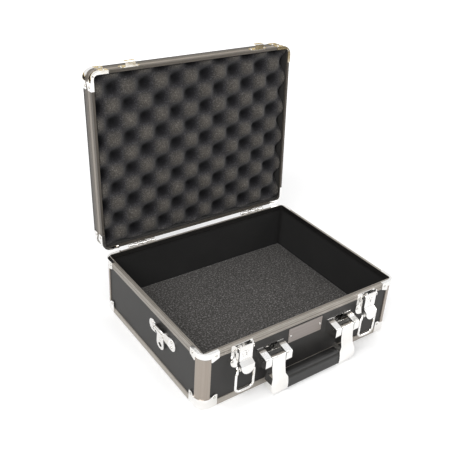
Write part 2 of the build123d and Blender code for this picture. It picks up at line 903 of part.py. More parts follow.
def hinge_rivets(up):
    return [rivet_back(hinge_at + side * hinge_width / 3, hinge_sheet, up) for side in (-1, 0, 1)]


# Strap lugs, made for the right side

def strap_lug():
    """Two riveted feet, each with an ear that stands out, and the rod between the ears."""
    ear_low = lug_up - lug_ear_drop
    top = lug_rod_up + lug_rod_radius + lug_nose_wall
    root = outline((panel_face, ear_low), (panel_face + lug_sheet, ear_low), (panel_face + lug_sheet, top),
                   (panel_face, top))
    nose = Pos(lug_rod_out, lug_rod_up) * Circle(lug_rod_radius + lug_nose_wall)
    ear = hull(root, nose)
    outer = lug_ear_inner + lug_ear
    lug = right_prism(Pos(lug_rod_out, lug_rod_up) * Circle(lug_rod_radius), lug_at - outer, lug_at + outer)
    for side in (-1, 1):
        foot = Pos(lug_at + side * lug_spacing / 2, lug_up) * Circle(lug_foot_radius)
        near = lug_at + side * lug_ear_inner
        far = lug_at + side * outer
        strap = outline((near, lug_up - lug_strap_half), (far, lug_up - lug_strap_half),
                        (far, lug_up + lug_strap_half), (near, lug_up + lug_strap_half))
        lug += right_plate(hull(foot, strap), panel_face, panel_face + lug_sheet)
        lug += right_prism(ear, min(near, far), max(near, far))
    return lug


def strap_lug_rivets():
    heads = []
    reach = lug_rivet_spacing / 2
    for side in (-1, 1):
        middle = lug_at + side * lug_spacing / 2
        for up in (lug_up - reach, lug_up + reach):
            heads.append(rivet_right(middle, panel_face + lug_sheet, up))
    return heads


def loop_side_view():
    """The tongue seen from the side: it bends back from the barrel to hang near the wall."""
    back = panel_face + lug_sheet + loop_wall_gap
    front = back + loop_sheet
    low = lug_rod_up - loop_length
    bend = lug_rod_up - loop_bend_drop
    return outline((lug_rod_out - loop_sheet / 2, lug_rod_up), (lug_rod_out + loop_sheet / 2, lug_rod_up),
                   (front, bend), (front, low), (back, low), (back, bend))


def strap_loop():
    """Tongue on a barrel, with a round end that has an eye for the strap's hook."""
    low = lug_rod_up - loop_length
    half = loop_half_width
    left = lug_at - half
    right = lug_at + half
    waist_up = lug_rod_up - loop_bend_drop
    rod = Pos(lug_rod_out, lug_rod_up)
    barrel = right_prism(rod * Circle(loop_barrel), left, right)
    shape = outline((left, lug_rod_up), (left + loop_waist, waist_up), (left, low),
                    (right, low), (right - loop_waist, waist_up), (right, lug_rod_up))
    shape = fillet(shape.vertices().group_by(Axis.Y)[0], loop_round)
    front = lug_rod_out + loop_barrel
    tongue = right_prism(loop_side_view(), left, right) & right_plate(shape, panel_face, front)
    eye_shape = Pos(lug_at, low + loop_eye_up) * SlotOverall(loop_eye_width, loop_eye_height)
    eye = right_plate(eye_shape, panel_face, front)
    bore = right_prism(rod * Circle(lug_rod_radius + pin_clearance), left - 1, right + 1)
    groove_up = waist_up - 1 - loop_groove_length / 2
    groove_shape = Pos(lug_at, groove_up) * Rectangle(loop_groove_width, loop_groove_length)
    face = panel_face + lug_sheet + loop_wall_gap + loop_sheet
    groove = right_plate(groove_shape, face - loop_groove_depth, face + 1)
    return barrel + tongue - eye - bore - groove


# Writing one file per node

def solids_of(pieces):
    if not isinstance(pieces, (list, tuple)):
        pieces = [pieces]
    found = []
    for piece in pieces:
        found += piece.solids()
    return found


def save(name, pieces):
    found = solids_of(pieces)
    shape = found[0] if len(found) == 1 else Compound(found)
    export_step(shape, os.path.join(parts_folder, name + ".step"))


def save_pair(name, piece):
    """Write the right piece and its mirror image as two nodes."""
    pieces = piece if isinstance(piece, list) else [piece]
    save(name + "_right", pieces)
    save(name + "_left", [mirror_x(one) for one in pieces])


def both(pieces):
    pieces = pieces if isinstance(pieces, list) else [pieces]
    return pieces + [mirror_x(one) for one in pieces]


def save_base():
    front = base_front_panel()
    right = base_right_panel()
    rim = Pos(0, 0, base_height) * rim_cap(cap_lobe_drop)
    save("base_floor_panel", base_floor_panel())
    save("base_front_panel", front)
    save("base_back_panel", mirror(front, Plane.XZ))
    save("base_right_panel", right)
    save("base_left_panel", mirror_x(right))
    save("base_bottom_frame", base_bottom_frame())
    save("base_rim_frame", base_rim_frame())
    save("base_corner_posts", at_four_corners(corner_post(strip_top, base_height - rim_band)))
    save("base_rim_corner_caps", at_four_corners(rim))
    save("base_bottom_corner_caps", at_four_corners(low_cap(low_cap_lobe, low_cap_arch)))
    rivets = cap_rivets(base_height - rim_band / 2, cap_reach - cap_rivet_back, cap_thickness)
    rivets += cap_rivets(low_cap_arch, low_cap_reach - low_rivet_back, cap_thickness)
    save("base_corner_rivets", rivets)
    save("base_wall_lining", base_wall_lining())
    save("base_foam_mat", base_foam_mat())
    save("name_plate", name_plate())
    save("name_plate_rivets", name_plate_rivets())
    save_pair("handle_bracket", handle_bracket())
    save("handle_pins", both(handle_pin()))
    save("handle_bracket_rivets", both(handle_bracket_rivets()))
    save_pair("latch_plate", latch_plate())
    save("latch_pivot_pins", both(latch_pivot_pin()))
    save("latch_rivets", both(latch_rivets()))
    save("hinge_base_leaves", both(hinge_base_leaf()))
    save("hinge_pins", both(hinge_pin()))
    save("hinge_base_rivets", both(hinge_rivets(hinge_z - rim_band / 2 - 1)))
    save_pair("strap_lug", strap_lug())
    save("strap_lug_rivets", both(strap_lug_rivets()))


def save_lid():
    def save_open(name, pieces):
        pieces = pieces if isinstance(pieces, list) else [pieces]
        save(name, [open_lid(piece) for piece in pieces])

    save_open("lid_top_panel", lid_top_panel())
    save_open("lid_frame", lid_frame())
    save_open("lid_rim_corner_caps", at_four_corners(lid_rim_cap()))
    save_open("lid_top_corner_caps", at_four_corners(lid_top_cap()))
    rivets = cap_rivets(lid_rim + rim_band / 2, cap_reach - cap_rivet_back, cap_thickness)
    rivets += cap_rivets(lid_top - lid_cap_arch, low_cap_reach - low_rivet_back, cap_thickness)
    save_open("lid_corner_rivets", rivets)
    save_open("lid_lining", lid_lining())
    save_open("lid_egg_crate_foam", lid_egg_crate_foam())
    save_open("keeper_right", keeper())
    save_open("keeper_left", mirror_x(keeper()))
    save_open("keeper_rivets", both(keeper_rivets()))
    save_open("hinge_lid_leaves", both(hinge_lid_leaf()))
    save_open("hinge_lid_rivets", both(hinge_rivets(hinge_z + rim_band / 2 + 1)))


def save_moving_pieces():
    save_pair("handle_arm", handle_arm())
    save("handle_grip", handle_grip())
    save("handle_core_rod", handle_core_rod())
    save_pair("latch_lever", latch_lever())
    save_pair("lock_barrel", lock_barrel())
    save_pair("lock_plug", lock_plug())
    save_pair("latch_bail", latch_bail())
    save_pair("strap_loop", strap_loop())


os.makedirs(parts_folder, exist_ok=True)
save_base()
save_lid()
save_moving_pieces()
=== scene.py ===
import json
from math import cos, exp, pi, radians, sin

import bmesh
import bpy
from mathutils import Matrix, Vector, noise


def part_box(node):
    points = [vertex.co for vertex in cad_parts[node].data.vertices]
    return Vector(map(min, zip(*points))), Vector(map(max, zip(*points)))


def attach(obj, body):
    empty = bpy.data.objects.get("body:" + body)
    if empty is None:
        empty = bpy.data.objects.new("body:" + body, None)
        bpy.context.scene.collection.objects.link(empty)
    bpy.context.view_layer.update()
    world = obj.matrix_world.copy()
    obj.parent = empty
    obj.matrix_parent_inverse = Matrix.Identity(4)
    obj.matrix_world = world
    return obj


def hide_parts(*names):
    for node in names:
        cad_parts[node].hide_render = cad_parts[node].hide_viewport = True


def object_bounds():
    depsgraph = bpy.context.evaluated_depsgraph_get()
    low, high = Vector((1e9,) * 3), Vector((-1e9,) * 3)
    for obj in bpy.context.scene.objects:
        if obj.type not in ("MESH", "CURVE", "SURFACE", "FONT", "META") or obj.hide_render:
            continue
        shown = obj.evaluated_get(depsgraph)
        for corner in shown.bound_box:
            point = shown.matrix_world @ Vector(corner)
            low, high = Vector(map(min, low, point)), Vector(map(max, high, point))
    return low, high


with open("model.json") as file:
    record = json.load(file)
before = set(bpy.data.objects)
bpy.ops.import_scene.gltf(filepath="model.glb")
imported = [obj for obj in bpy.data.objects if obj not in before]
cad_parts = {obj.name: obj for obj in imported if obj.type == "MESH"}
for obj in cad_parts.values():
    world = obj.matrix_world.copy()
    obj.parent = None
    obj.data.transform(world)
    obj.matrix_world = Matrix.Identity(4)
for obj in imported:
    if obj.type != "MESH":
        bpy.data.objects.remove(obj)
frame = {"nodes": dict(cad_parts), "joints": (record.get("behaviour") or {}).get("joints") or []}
cad_low, cad_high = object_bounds()

# The frame gives the sizes. Lengths are in metres.
nodes = frame["nodes"]
MM = 0.001
lid_joint = next(j for j in frame["joints"] if j["name"] == "lid_hinge")
hinge = Vector(lid_joint["pos_m"])
open_angle = radians(lid_joint["range_deg"][1])
half_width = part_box("base_rim_frame")[1].x
half_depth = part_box("base_rim_frame")[1].y


def open_matrix():
    """Turns a point of the closed lid to where it lies with the lid open."""
    there = Matrix.Translation(hinge)
    return there @ Matrix.Rotation(-open_angle, 4, "X") @ there.inverted()


def closed_box(name):
    """Corners of a lid node's box with the lid turned back to closed."""
    closed = open_matrix().inverted()
    corners = [closed @ v.co for v in nodes[name].data.vertices]
    low = Vector(min(c[i] for c in corners) for i in range(3))
    high = Vector(max(c[i] for c in corners) for i in range(3))
    return low, high


# Node trees

def grey(value, warm=0.0):
    """A grey with its red raised and its blue lowered by the share that is warm."""
    return (value * (1 + warm), value, value * (1 - warm))


class NodeTree:
    """A node tree, with short calls that add and link its nodes."""

    def __init__(self, tree):
        self.tree = tree

    def add(self, kind, **settings):
        node = self.tree.nodes.new(kind)
        for name, value in settings.items():
            setattr(node, name, value)
        return node

    def put(self, value, socket):
        """Link an output to a socket, or write a plain value on it."""
        if isinstance(value, bpy.types.NodeSocket):
            self.tree.links.new(value, socket)
        else:
            socket.default_value = value

    def math(self, operation, *values):
        node = self.add("ShaderNodeMath", operation=operation)
        for i, value in enumerate(values):
            self.put(value, node.inputs[i])
        return node.outputs[0]

    def axis(self, name, point):
        split = self.add("ShaderNodeSeparateXYZ")
        self.put(point, split.inputs[0])
        return split.outputs[name]

    def ramp(self, value, *stops):
        """Colours by value, from (place, colour) stops."""
        node = self.add("ShaderNodeValToRGB")
        marks = node.color_ramp.elements
        while len(marks) < len(stops):
            marks.new(0.5)
        for mark, (place, colour) in zip(marks, stops):
            mark.position = place
            mark.color = (*colour, 1.0)
        self.put(value, node.inputs["Fac"])
        return node.outputs["Color"]

    def mixed(self, blend, factor, first, second):
        node = self.add("ShaderNodeMix", data_type="RGBA", blend_type=blend)
        self.put(factor, node.inputs["Factor"])
        self.put(first, node.inputs["A"])
        self.put(second, node.inputs["B"])
        return node.outputs["Result"]

    def spread(self, value, low, high, from_low=0.0, from_high=1.0):
        """Map a value from one range to another, kept inside it."""
        node = self.add("ShaderNodeMapRange")
        self.put(value, node.inputs["Value"])
        ends = {"From Min": from_low, "From Max": from_high, "To Min": low, "To Max": high}
        for name, number in ends.items():
            node.inputs[name].default_value = number
        return node.outputs["Result"]


class Recipe(NodeTree):
    """A material on one Principled shader, patterned by the object's own coordinates."""

    def __init__(self, name, on_lid=False):
        self.material = bpy.data.materials.new(name)
        self.material.use_nodes = True
        super().__init__(self.material.node_tree)
        self.shader = self.tree.nodes["Principled BSDF"]
        self.point = self.add("ShaderNodeTexCoord").outputs["Object"]
        if on_lid:
            self.point = self.closed_point(self.point)

    def set(self, **values):
        """Put values on the shader's sockets, named with _ for a space."""
        for name, value in values.items():
            self.put(value, self.shader.inputs[name.replace("_", " ")])

    def closed_point(self, point):
        """Object coordinates on the lid, turned back to the closed lid."""
        turn = self.add("ShaderNodeVectorRotate", rotation_type="X_AXIS")
        self.put(point, turn.inputs["Vector"])
        turn.inputs["Center"].default_value = hinge
        turn.inputs["Angle"].default_value = open_angle
        return turn.outputs["Vector"]

    def along(self, name):
        """The point's place along one axis."""
        return self.axis(name, self.point)

    def stretched(self, scale):
        node = self.add("ShaderNodeMapping")
        self.put(self.point, node.inputs["Vector"])
        node.inputs["Scale"].default_value = scale
        return node.outputs["Vector"]

    def noise(self, scale, detail=3.0, roughness=0.5, point=None):
        node = self.add("ShaderNodeTexNoise")
        self.put(point or self.point, node.inputs["Vector"])
        node.inputs["Scale"].default_value = scale
        node.inputs["Detail"].default_value = detail
        node.inputs["Roughness"].default_value = roughness
        return node.outputs["Fac"]

    def cells(self, scale):
        node = self.add("ShaderNodeTexVoronoi")
        self.put(self.point, node.inputs["Vector"])
        node.inputs["Scale"].default_value = scale
        return node.outputs["Distance"]

    def bump(self, height, depth, strength, normal=None):
        """Normals of a pattern that is this deep, laid over those of another bump if given."""
        node = self.add("ShaderNodeBump")
        node.inputs["Distance"].default_value = depth
        node.inputs["Strength"].default_value = strength
        self.put(height, node.inputs["Height"])
        if normal:
            self.put(normal, node.inputs["Normal"])
        return node.outputs["Normal"]


# Materials

# The rim's inner face lies deeper than this from the outside, and the felt covers it
FELT_INSET = 5.2 * MM
FELT_BLACK = (*grey(0.008, 0.06), 1)
# The chromed caps lie this high over the rim's top, and its upright faces end this far under it
RIM_CAP_SHEET, RIM_EDGE = 0.6 * MM, 0.3 * MM
RIB_PITCH, RIB_DEPTH = 1.7 * MM, 0.09 * MM
# Painted shade and highlight on the lid's extrusion from its rim to its top: painted shade in its grooves and
# at its top edge, paler flats and a painted highlight along a rib
LID_PAINTED_LIGHT_BANDS = (
    (0.0, grey(0.26, 0.03)), (0.12, grey(0.34, 0.03)), (0.16, grey(0.50, 0.03)), (0.32, grey(0.62, 0.03)),
    (0.36, grey(0.92, 0.03)), (0.42, grey(0.60, 0.03)), (0.58, grey(0.46, 0.03)), (0.66, grey(0.30, 0.03)),
    (0.82, grey(0.26, 0.03)), (0.88, grey(0.12)), (0.94, grey(0.04)))
# Painted light on the rim's top from the outside in: a painted highlight on the outer edge, painted shade in
# a groove and a plainer inner flat
RIM_TOP_PAINTED_LIGHT = (
    (0.0, grey(1.0)), (0.16, grey(1.0)), (0.22, grey(0.52)), (0.34, grey(0.60)), (0.40, grey(0.86)),
    (0.62, grey(0.80)), (0.68, grey(0.55)), (0.76, grey(0.78)), (1.0, grey(0.66)))
# Painted shade and highlight bands on the rim's upright face, from its lower edge to its top
RIM_FACE_PAINTED_LIGHT = (
    (0.0, grey(0.70)), (0.10, grey(0.95)), (0.17, grey(0.50)), (0.24, grey(0.92)), (0.42, grey(0.86)),
    (0.48, grey(0.55)), (0.56, grey(0.92)), (0.80, grey(0.84)), (0.86, grey(0.58)), (0.93, grey(1.0)))


def lid_painted_light(r):
    """Painted shade and highlight of the lid's extrusion at the point's height."""
    low, high = closed_box("lid_frame")
    share = r.spread(r.along("Z"), 0.0, 1.0, low.z, high.z)
    return r.ramp(share, *LID_PAINTED_LIGHT_BANDS)


def rim_painted_light(r, inset):
    """Painted shade and highlight on the base's rim: bands across its top, and bands up its outer face."""
    depth = r.spread(inset, 1.0, 0.0, -FELT_INSET, 0.0)
    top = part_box("base_rim_corner_caps")[1].z - RIM_CAP_SHEET
    on_top = r.math("GREATER_THAN", r.along("Z"), top - RIM_EDGE)
    height = r.spread(r.along("Z"), 0.0, 1.0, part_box("base_rim_frame")[0].z, top)
    return r.mixed("MIX", on_top, r.ramp(height, *RIM_FACE_PAINTED_LIGHT), r.ramp(depth, *RIM_TOP_PAINTED_LIGHT))


def ribbed_aluminium(name, on_lid=False, felted=False):
    """Satin extrusion, with fine ribs that run along it and a soft brushed streak; on the lid, and on the rim
    when felted, bands of painted shade and highlight; felted inside if asked.
    """
    r = Recipe(name, on_lid)
    x = r.math("SUBTRACT", r.math("ABSOLUTE", r.along("X")), half_width)
    y = r.math("SUBTRACT", r.math("ABSOLUTE", r.along("Y")), half_depth)
    inset = r.math("MAXIMUM", x, y)
    across = r.math("ADD", inset, r.along("Z"))
    wave = r.math("SINE", r.math("MULTIPLY", across, 2 * pi / RIB_PITCH))
    streak = r.noise(60, detail=4, roughness=0.6, point=r.stretched((0.4, 0.4, 14)))
    tone = r.ramp(streak, (0.3, (0.36, 0.328, 0.290)), (0.7, (0.46, 0.422, 0.376)))
    metal = 0.6 if on_lid else 0.5
    if on_lid:
        # The lid's bands paint shade and highlight into the colour.
        tone = r.mixed("MULTIPLY", 1.0, tone, lid_painted_light(r))
    if felted:
        # The rim's bands paint shade and highlight into the colour.
        tone = r.mixed("MULTIPLY", 1.0, tone, rim_painted_light(r, inset))
        outside = r.math("GREATER_THAN", inset, -FELT_INSET)
        tone = r.mixed("MIX", outside, FELT_BLACK, tone)
        metal = r.math("MULTIPLY", outside, metal)
    ribs = r.bump(wave, depth=RIB_DEPTH, strength=0.8)
    grain = r.bump(r.noise(2500, detail=2), depth=0.02 * MM, strength=0.5, normal=ribs)
    r.set(Base_Color=tone, Metallic=metal, Roughness=r.spread(streak, 0.34, 0.5), Normal=grain)
    return r.material


def smooth_aluminium(name):
    """Rolled corner post: satin, with faint lines that run up it."""
    r = Recipe(name)
    lines = r.noise(420, detail=3, roughness=0.6, point=r.stretched((1, 1, 0.015)))
    tone = r.ramp(lines, (0.25, (0.325, 0.280, 0.240)), (0.75, (0.370, 0.322, 0.278)))
    r.set(Base_Color=tone, Metallic=0.5, Roughness=r.spread(lines, 0.32, 0.44),
          Normal=r.bump(lines, depth=0.02 * MM, strength=0.25))
    return r.material


def chrome(name):
    """Polished nickel-chrome, a little wavy from the stamping, with faint wear."""
    r = Recipe(name)
    wavy = r.noise(55, detail=2)
    fine = r.noise(900, detail=3)
    tone = r.ramp(r.noise(30, detail=3), (0.35, (0.80, 0.785, 0.76)), (0.65, (0.88, 0.875, 0.865)))
    dents = r.bump(wavy, depth=0.5 * MM, strength=0.25)
    r.set(Base_Color=tone, Metallic=1.0, Roughness=r.spread(fine, 0.05, 0.14),
          Normal=r.bump(fine, depth=0.02 * MM, strength=0.3, normal=dents))
    return r.material


def rivet_steel(name):
    """Bright steel of the rivets and pins, finely mottled."""
    r = Recipe(name)
    fine = r.noise(1500, detail=3)
    tone = r.ramp(fine, (0.3, (0.5, 0.48, 0.45)), (0.7, (0.7, 0.69, 0.67)))
    r.set(Base_Color=tone, Metallic=1.0, Roughness=r.spread(fine, 0.16, 0.34),
          Normal=r.bump(fine, depth=0.04 * MM, strength=0.5))
    return r.material


def laminate(name):
    """Matte black board with a fine pebbled grain."""
    r = Recipe(name)
    patch = r.noise(18, detail=4)
    tone = r.ramp(patch, (0.3, grey(0.026, 0.03)), (0.7, grey(0.034, 0.05)))
    r.set(Base_Color=tone, Roughness=r.spread(patch, 0.42, 0.56), Specular_IOR_Level=0.28,
          Normal=r.bump(r.cells(1100), depth=0.06 * MM, strength=0.35))
    return r.material


def felt(name, dark, light, on_lid=False):
    """Thin glued felt: dull fibres in all directions and faint patches."""
    r = Recipe(name, on_lid)
    fibre = r.noise(1600, detail=5, roughness=0.7)
    patch = r.noise(22, detail=3)
    both = r.math("ADD", r.math("MULTIPLY", fibre, 0.6), r.math("MULTIPLY", patch, 0.4))
    r.set(Base_Color=r.ramp(both, (0.35, dark), (0.65, light)), Roughness=0.95,
          Specular_IOR_Level=0.10, Sheen_Weight=0.10, Sheen_Roughness=0.6,
          Normal=r.bump(fibre, depth=0.25 * MM, strength=0.6))
    return r.material


SPECK = (0.55, 0.53, 0.52, 1)
# Painted shade of the egg-crate foam from its peaks down to its pits: warm painted light on the peaks, bluer
# on the slopes, near black in the pits
FOAM_PAINTED_SHADE = (
    (0.0, (1.0, 0.97, 0.90)), (0.18, (0.80, 0.79, 0.76)), (0.42, (0.40, 0.415, 0.47)),
    (0.68, (0.11, 0.115, 0.145)), (1.0, (0.035, 0.037, 0.048)))


def foam(name, dark, light, cell_scale, specks, on_lid=False, painted_shade_span=None):
    """Open-cell foam: pores, pale specks and, between two heights if given, painted shade that darkens it
    from the tops down to the pits.
    """
    r = Recipe(name, on_lid)
    pores = r.cells(cell_scale)
    grains = r.noise(cell_scale * 0.8, detail=2, roughness=0.6)
    speck = r.spread(grains, 0.0, specks, 0.50, 0.74)
    patch = r.noise(90, detail=3)
    mottled = r.math("ADD", r.math("MULTIPLY", pores, 0.45), r.math("MULTIPLY", patch, 0.4))
    colour = r.mixed("SCREEN", speck, r.ramp(mottled, (0.2, dark), (0.7, light)), SPECK)
    if painted_shade_span:
        share = r.spread(r.along("Z"), 0.0, 1.0, *painted_shade_span)
        # Painted shade: darker and bluer from the peaks down to the pits.
        colour = r.mixed("MULTIPLY", 1.0, colour, r.ramp(share, *FOAM_PAINTED_SHADE))
    r.set(Base_Color=colour, Roughness=0.95, Specular_IOR_Level=0.2, Sheen_Weight=0.15,
          Normal=r.bump(pores, depth=0.5 * MM, strength=0.55))
    return r.material


def satin_plate(name):
    """The bare name plate: warm grey, brushed along its length."""
    r = Recipe(name)
    brushed = r.noise(350, detail=3, roughness=0.6, point=r.stretched((0.05, 1, 1)))
    tone = r.ramp(brushed, (0.2, (0.27, 0.238, 0.220)), (0.8, (0.32, 0.285, 0.266)))
    r.set(Base_Color=tone, Metallic=0.55, Roughness=r.spread(brushed, 0.32, 0.45),
          Normal=r.bump(brushed, depth=0.03 * MM, strength=0.4))
    return r.material


def grip_plastic(name):
    """Black moulded grip with a half gloss and faint lines along it."""
    r = Recipe(name)
    lines = r.noise(500, detail=3, point=r.stretched((0.04, 1, 1)))
    tone = r.ramp(r.noise(60, detail=3), (0.3, grey(0.010, 0.03)), (0.7, grey(0.016, 0.03)))
    r.set(Base_Color=tone, Roughness=r.spread(lines, 0.28, 0.4), Specular_IOR_Level=0.4,
          Normal=r.bump(lines, depth=0.05 * MM, strength=0.35))
    return r.material


BASE_FELT = felt("base_felt", grey(0.005, 0.06), grey(0.010, 0.06))
LID_FELT = felt("lid_felt", grey(0.014, 0.06), grey(0.026, 0.06), on_lid=True)
CHROME = chrome("chrome")
RIVET = rivet_steel("rivet_steel")
LAMINATE = laminate("black_laminate")
FINISHES = {
    "base_rim_frame": ribbed_aluminium("ribbed_aluminium_rim", felted=True),
    "base_bottom_frame": ribbed_aluminium("ribbed_aluminium"),
    "base_corner_posts": smooth_aluminium("post_aluminium"),
    "lid_frame": ribbed_aluminium("ribbed_aluminium_lid", on_lid=True),
    "name_plate": satin_plate("name_plate_satin"),
    "handle_grip": grip_plastic("grip_plastic"),
}
METAL_PINS = ("rivets", "pins", "core_rod")
SOFT_NODES = ("base_wall_lining", "lid_lining", "base_foam_mat", "lid_egg_crate_foam")
# Width and steps of the rounds on the cast arms' edges and on those of the pressed pieces
ARM_ROUND, SHEET_ROUND = (1.8 * MM, 4), (0.35 * MM, 2)
SHARP_ANGLE = radians(38)
WELD_REACH = 0.002 * MM


def finish_of(name):
    if name in FINISHES:
        return FINISHES[name]
    if name.endswith("panel"):
        return LAMINATE
    if any(word in name for word in METAL_PINS):
        return RIVET
    return CHROME


def dress_cad_nodes():
    for name, node in nodes.items():
        node.data.materials.clear()
        node.data.materials.append(finish_of(name))


def soften_edges():
    """Small rounds on the edges of the chromed pieces, which catch the light as in the photograph."""
    for name, node in nodes.items():
        if finish_of(name) is not CHROME or name in SOFT_NODES:
            continue
        weld = node.modifiers.new("weld", "WELD")
        weld.merge_threshold = WELD_REACH
        bevel = node.modifiers.new("bevel", "BEVEL")
        bevel.width, bevel.segments = ARM_ROUND if name.startswith("handle_arm") else SHEET_ROUND
        bevel.limit_method = "ANGLE"
        bevel.angle_limit = SHARP_ANGLE
        bevel.harden_normals = True


# Soft pieces

def new_piece(name, mesh, body, material, replaced):
    """An object that rides on a body and stands for the CAD node that it replaces."""
    piece = bpy.data.objects.new(name, mesh)
    bpy.context.scene.collection.objects.link(piece)
    piece.data.materials.append(material)
    for face in mesh.polygons:
        face.use_smooth = True
    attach(piece, body)
    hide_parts(replaced)
    return piece


def mesh_of(name, points, faces, matrix=None):
    """A mesh with its faces turned outwards, moved by the matrix if given."""
    mesh = bpy.data.meshes.new(name)
    mesh.from_pydata(points, [], faces)
    if matrix:
        mesh.transform(matrix)
    box = bmesh.new()
    box.from_mesh(mesh)
    bmesh.ops.recalc_face_normals(box, faces=box.faces)
    box.to_mesh(mesh)
    box.free()
    return mesh


def pad_mesh(name, low, high, surface, columns, rows, sides, matrix=None):
    """A closed pad: a face that follows surface(x, y), upright sides and a flat back at low.z.

    sides gives the shares of the way down to the back at which the sides have an edge.
    """
    points = []
    for j in range(rows + 1):
        for i in range(columns + 1):
            x = low.x + (high.x - low.x) * i / columns
            y = low.y + (high.y - low.y) * j / rows
            points.append((x, y, surface(x, y)))
    wide = columns + 1
    faces = [(j * wide + i, j * wide + i + 1, (j + 1) * wide + i + 1, (j + 1) * wide + i)
             for j in range(rows) for i in range(columns)]
    edge = list(range(wide))
    edge += [j * wide + columns for j in range(1, rows + 1)]
    edge += [rows * wide + i for i in range(columns - 1, -1, -1)]
    edge += [j * wide for j in range(rows - 1, 0, -1)]
    ring = edge
    for share in sides:
        start = len(points)
        for index in edge:
            x, y, z = points[index]
            points.append((x, y, z + (low.z - z) * share))
        fresh = list(range(start, start + len(edge)))
        for a in range(len(edge)):
            b = (a + 1) % len(edge)
            faces.append((ring[a], ring[b], fresh[b], fresh[a]))
        ring = fresh
    faces.append(tuple(ring))
    return mesh_of(name, points, faces, matrix)


# The linings' sheet, and the radius of their corners outside
FELT_WALL, FELT_CORNER = 0.8 * MM, 6.4 * MM
# Most that a lining's inner side swells, and how quickly the swelling changes
FELT_SWELL, FELT_SWELL_RATE = 0.12 * MM, 40
# Steps of a lining's mesh: round a corner, along its long and short walls, and up them
ARC_STEPS, LONG_STEPS, SHORT_STEPS, UP_STEPS = 4, 56, 44, 14


def lining_outline(low, high, inset, radius):
    """Points round a rounded rectangle, the same number for every inset."""
    x0, y0, x1, y1 = low.x + inset, low.y + inset, high.x - inset, high.y - inset
    centres = ((x1 - radius, y0 + radius), (x1 - radius, y1 - radius), (x0 + radius, y1 - radius),
               (x0 + radius, y0 + radius))
    bends = []
    for i, (x, y) in enumerate(centres):
        turns = [radians(90 * (i - 1 + k / ARC_STEPS)) for k in range(ARC_STEPS + 1)]
        bends.append([Vector((x + radius * cos(t), y + radius * sin(t))) for t in turns])
    points = []
    for i, bend in enumerate(bends):
        points += bend
        count = LONG_STEPS if i % 2 else SHORT_STEPS
        after = bends[(i + 1) % len(bends)][0]
        points += [bend[-1].lerp(after, k / count) for k in range(1, count)]
    return points


def faces_between(lower, upper):
    """Faces that join two rings of point numbers."""
    count = len(lower)
    return [(lower[i], lower[(i + 1) % count], upper[(i + 1) % count], upper[i]) for i in range(count)]


def lining_mesh(name, low, high, capped, matrix=None):
    """A closed band of felt with its inner side a little uneven, and a sheet over its top if capped."""
    outer = lining_outline(low, high, 0.0, FELT_CORNER)
    inner = lining_outline(low, high, FELT_WALL, FELT_CORNER - 2 * FELT_WALL)
    count = len(outer)
    top = high.z - FELT_WALL if capped else high.z
    points = [(p.x, p.y, high.z) for p in outer] + [(p.x, p.y, low.z) for p in outer]
    for row in range(UP_STEPS + 1):
        z = low.z + (top - low.z) * row / UP_STEPS
        for p, out in zip(inner, outer):
            spot = Vector((p.x * FELT_SWELL_RATE, p.y * FELT_SWELL_RATE, z * FELT_SWELL_RATE))
            swell = (noise.noise(spot) + 1) / 2 * FELT_SWELL
            inward = (p - out).normalized() * swell
            points.append((p.x + inward.x, p.y + inward.y, z))
    rings = [list(range(i * count, (i + 1) * count)) for i in range(UP_STEPS + 3)]
    faces = []
    for lower, upper in zip(rings, rings[1:]):
        faces += faces_between(lower, upper)
    if capped:
        faces += [tuple(rings[0]), tuple(rings[-1])]
    else:
        faces += faces_between(rings[-1], rings[0])
    return mesh_of(name, points, faces, matrix)


def linings():
    """The felt of the lower case's walls, and that of the lid's walls and top."""
    low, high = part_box("base_wall_lining")
    mesh = lining_mesh("base_felt_lining", low, high, capped=False)
    piece = new_piece("base_felt_lining", mesh, "base", BASE_FELT, "base_wall_lining")
    low, high = closed_box("lid_lining")
    mesh = lining_mesh("lid_felt_lining", low, high, capped=True, matrix=open_matrix())
    piece = new_piece("lid_felt_lining", mesh, "lid", LID_FELT, "lid_lining")


# The egg-crate foam on the closed lid: from a peak to the pit beside it, and where one peak stands
EGG_PITCH_X, EGG_PITCH_Y = 25.5 * MM, 24.7 * MM
EGG_PEAK_X, EGG_PEAK_Y = -137.4 * MM, -108.0 * MM
# Foam left behind the pits, and the share of the way to peak and pit that the waves reach
EGG_BACK = 3.5 * MM
EGG_REACH = 0.985
# How much narrower the pits are than the peaks
PIT_BIAS = 0.22
# Most that the peaks lean off their grid, and how rough the cut is, each with how quickly it changes
EGG_LEAN, EGG_LEAN_RATE = 1.2 * MM, 30
EGG_ROUGH, EGG_ROUGH_RATE = 0.35 * MM, 160
EGG_COLUMNS, EGG_ROWS = 264, 206
EGG_SIDES = (0.08, 0.5, 0.92, 1.0)


